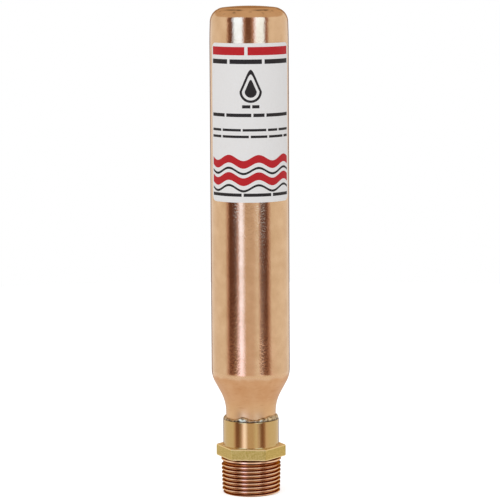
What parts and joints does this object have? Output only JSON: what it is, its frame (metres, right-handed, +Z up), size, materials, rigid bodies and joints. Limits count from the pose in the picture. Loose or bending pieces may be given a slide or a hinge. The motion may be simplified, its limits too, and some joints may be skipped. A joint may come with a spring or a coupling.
{
  "type": "water hammer arrestor",
  "caption": "Closed copper tube with a sealed sliding piston inside, necked down into a brass adapter with a hexagon and a male pipe thread, that cushions pressure surges in a water pipe.",
  "frame": {"origin": "middle of the threaded end's face, on the axis", "axes": "+Z up the axis from the threaded end to the closed end, -Y towards the label"},
  "size_m": [0.0349, 0.0351, 0.2175],
  "materials": {
    "copper": "polished copper tube, duller where it was drawn",
    "brass": "turned brass with a dull plated tone",
    "solder": "bright tin solder with an uneven edge",
    "piston_plastic": "moulded, satin",
    "seal_rubber": "moulded, with a film of grease",
    "label_film": "coated paper, printed with plain bars"
  },
  "bodies": {
    "shell": {"body_tube": "copper", "pipe_adapter": "brass", "solder_joint": "solder", "label": "label_film"},
    "piston": {"piston": "piston_plastic", "lower_seal": "seal_rubber", "upper_seal": "seal_rubber"}
  },
  "joints": [
    {"name": "piston_slide", "type": "slide", "parent": "shell", "child": "piston", "axis": [0, 0, 1], "range_m": [0, 0.11], "stiffness_N_per_m": 500}
  ]
}
